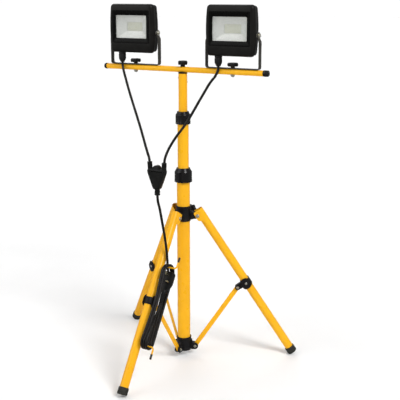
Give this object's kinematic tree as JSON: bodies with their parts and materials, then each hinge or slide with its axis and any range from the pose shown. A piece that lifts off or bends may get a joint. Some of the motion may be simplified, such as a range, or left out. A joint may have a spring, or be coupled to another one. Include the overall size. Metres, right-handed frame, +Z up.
{
  "type": "work light",
  "caption": "LED work light with tilting lamp heads on a crossbar, on a folding telescopic tripod, its mains lead wound on hooks on one leg.",
  "frame": {"origin": "on the floor, on the mast's vertical axis", "axes": "+Z up, +X along the crossbar; the lamps face -Y at rest, and one leg points along -Y"},
  "size_m": [0.5994, 0.523, 1.0436],
  "materials": {
    "yellow_paint": "semi-gloss yellow enamel",
    "black_paint": "satin black paint",
    "black_nylon": "fine satin grain",
    "glossy_nylon": "glossy",
    "black_powder_coat": "black powder coat on die-cast aluminium",
    "grey_rubber": "matt moulded rubber",
    "zinc_plated_steel": "bright zinc plate",
    "black_pvc": "satin flexible PVC",
    "clear_glass": "clear toughened glass",
    "bright_reflector": "metallised plastic",
    "led_board": "phosphor-coated emitters on a white board"
  },
  "bodies": {
    "mast": {"main_tube": "yellow_paint", "base_collar": "black_nylon", "lower_lock_sleeve": "black_nylon"},
    "lower_lock": {"lower_lock_collar": "glossy_nylon"},
    "mid": {"mid_tube": "yellow_paint", "upper_lock_sleeve": "black_nylon", "splitter": "black_pvc", "main_lead": "black_pvc"},
    "upper_lock": {"upper_lock_collar": "glossy_nylon"},
    "top": {"top_tube": "yellow_paint", "top_plug": "black_nylon"},
    "bar": {"crossbar": "yellow_paint", "bar_cap_left": "black_nylon", "bar_cap_right": "black_nylon", "lamp_bolt_left": "zinc_plated_steel", "lamp_bolt_right": "zinc_plated_steel", "lead_left": "black_pvc", "lead_right": "black_pvc"},
    "centre_knob": {"centre_knob": "black_nylon"},
    "bracket_left": {"bracket_left": "black_paint"},
    "lamp_knob_left": {"lamp_knob_left": "black_nylon"},
    "head_left": {"rear_shell_left": "black_powder_coat", "front_bezel_left": "black_powder_coat", "glass_left": "clear_glass", "reflector_left": "bright_reflector", "led_board_left": "led_board", "gland_left": "black_nylon", "tilt_screw_left_left": "zinc_plated_steel", "tilt_screw_left_right": "zinc_plated_steel"},
    "bracket_right": {"bracket_right": "black_paint"},
    "lamp_knob_right": {"lamp_knob_right": "black_nylon"},
    "head_right": {"rear_shell_right": "black_powder_coat", "front_bezel_right": "black_powder_coat", "glass_right": "clear_glass", "reflector_right": "bright_reflector", "led_board_right": "led_board", "gland_right": "black_nylon", "tilt_screw_right_left": "zinc_plated_steel", "tilt_screw_right_right": "zinc_plated_steel"},
    "leg_collar": {"leg_collar": "black_nylon"},
    "collar_knob": {"collar_knob": "black_nylon"},
    "leg_front": {"leg_front": "yellow_paint", "foot_front": "grey_rubber", "leg_bolt_front": "zinc_plated_steel", "brace_bracket_front": "black_nylon", "upper_hook": "yellow_paint", "lower_hook": "yellow_paint", "cord_hank": "black_pvc", "plug": "black_pvc"},
    "brace_front": {"brace_front": "yellow_paint"},
    "leg_right": {"leg_right": "yellow_paint", "foot_right": "grey_rubber", "leg_bolt_right": "zinc_plated_steel", "brace_bracket_right": "black_nylon"},
    "brace_right": {"brace_right": "yellow_paint"},
    "leg_left": {"leg_left": "yellow_paint", "foot_left": "grey_rubber", "leg_bolt_left": "zinc_plated_steel", "brace_bracket_left": "black_nylon"},
    "brace_left": {"brace_left": "yellow_paint"}
  },
  "joints": [
    {"name": "lower_lock_turn", "type": "hinge", "parent": "mast", "child": "lower_lock", "pos_m": [0, 0, 0.56], "axis": [0, 0, 1], "range_deg": [0, 90]},
    {"name": "mid_slide", "type": "slide", "parent": "mast", "child": "mid", "axis": [0, 0, 1], "range_m": [-0.12, 0.29], "deforming": ["main_lead"]},
    {"name": "upper_lock_turn", "type": "hinge", "parent": "mid", "child": "upper_lock", "pos_m": [0, 0, 0.728], "axis": [0, 0, 1], "range_deg": [0, 90]},
    {"name": "top_slide", "type": "slide", "parent": "mid", "child": "top", "axis": [0, 0, 1], "range_m": [-0.1, 0.3]},
    {"name": "bar_swivel", "type": "hinge", "parent": "top", "child": "bar", "pos_m": [0, 0, 0.8644], "axis": [0, 0, 1], "range_deg": [-90, 90]},
    {"name": "centre_knob_turn", "type": "hinge", "parent": "bar", "child": "centre_knob", "pos_m": [0, 0, 0.88], "axis": [0, 0, 1], "continuous": true},
    {"name": "left_pan", "type": "hinge", "parent": "bar", "child": "bracket_left", "pos_m": [-0.159, 0, 0.874], "axis": [0, 0, 1], "range_deg": [-90, 90]},
    {"name": "left_knob_turn", "type": "hinge", "parent": "bar", "child": "lamp_knob_left", "pos_m": [-0.159, 0, 0.882], "axis": [0, 0, 1], "continuous": true},
    {"name": "left_tilt", "type": "hinge", "parent": "bracket_left", "child": "head_left", "pos_m": [-0.159, 0, 0.9635], "axis": [1, 0, 0], "range_deg": [-90, 90], "deforming": ["lead_left"]},
    {"name": "right_pan", "type": "hinge", "parent": "bar", "child": "bracket_right", "pos_m": [0.159, 0, 0.874], "axis": [0, 0, 1], "range_deg": [-90, 90]},
    {"name": "right_knob_turn", "type": "hinge", "parent": "bar", "child": "lamp_knob_right", "pos_m": [0.159, 0, 0.882], "axis": [0, 0, 1], "continuous": true},
    {"name": "right_tilt", "type": "hinge", "parent": "bracket_right", "child": "head_right", "pos_m": [0.159, 0, 0.9635], "axis": [1, 0, 0], "range_deg": [-90, 90], "deforming": ["lead_right"]},
    {"name": "leg_collar_slide", "type": "slide", "parent": "mast", "child": "leg_collar", "axis": [0, 0, 1], "range_m": [0, 0.06971]},
    {"name": "collar_knob_turn", "type": "hinge", "parent": "leg_collar", "child": "collar_knob", "pos_m": [0, 0.0455, 0.4475], "axis": [0, 1, 0], "continuous": true},
    {"name": "leg_front_hinge", "type": "hinge", "parent": "leg_collar", "child": "leg_front", "pos_m": [0, -0.0411, 0.4398], "axis": [1, 0, 0], "range_deg": [0, 28.66]},
    {"name": "brace_front_hinge", "type": "hinge", "parent": "mast", "child": "brace_front", "pos_m": [0, -0.0335, 0.0285], "axis": [1, 0, 0], "range_deg": [-32.87, 0]},
    {"name": "leg_right_hinge", "type": "hinge", "parent": "leg_collar", "child": "leg_right", "pos_m": [0.03559, 0.02055, 0.4398], "axis": [-0.5, 0.866, 0], "range_deg": [0, 28.66]},
    {"name": "brace_right_hinge", "type": "hinge", "parent": "mast", "child": "brace_right", "pos_m": [0.02901, 0.01675, 0.0285], "axis": [-0.5, 0.866, 0], "range_deg": [-32.87, 0]},
    {"name": "leg_left_hinge", "type": "hinge", "parent": "leg_collar", "child": "leg_left", "pos_m": [-0.03559, 0.02055, 0.4398], "axis": [-0.5, -0.866, 0], "range_deg": [0, 28.66]},
    {"name": "brace_left_hinge", "type": "hinge", "parent": "mast", "child": "brace_left", "pos_m": [-0.02901, 0.01675, 0.0285], "axis": [-0.5, -0.866, 0], "range_deg": [-32.87, 0]}
  ],
  "couplings": [
    {"joint": "leg_front_hinge", "follows": "leg_collar_slide", "rad_per_m": 7.1636},
    {"joint": "brace_front_hinge", "follows": "leg_collar_slide", "rad_per_m": -8.2163},
    {"joint": "leg_right_hinge", "follows": "leg_collar_slide", "rad_per_m": 7.1636},
    {"joint": "brace_right_hinge", "follows": "leg_collar_slide", "rad_per_m": -8.2163},
    {"joint": "leg_left_hinge", "follows": "leg_collar_slide", "rad_per_m": 7.1636},
    {"joint": "brace_left_hinge", "follows": "leg_collar_slide", "rad_per_m": -8.2163}
  ]
}
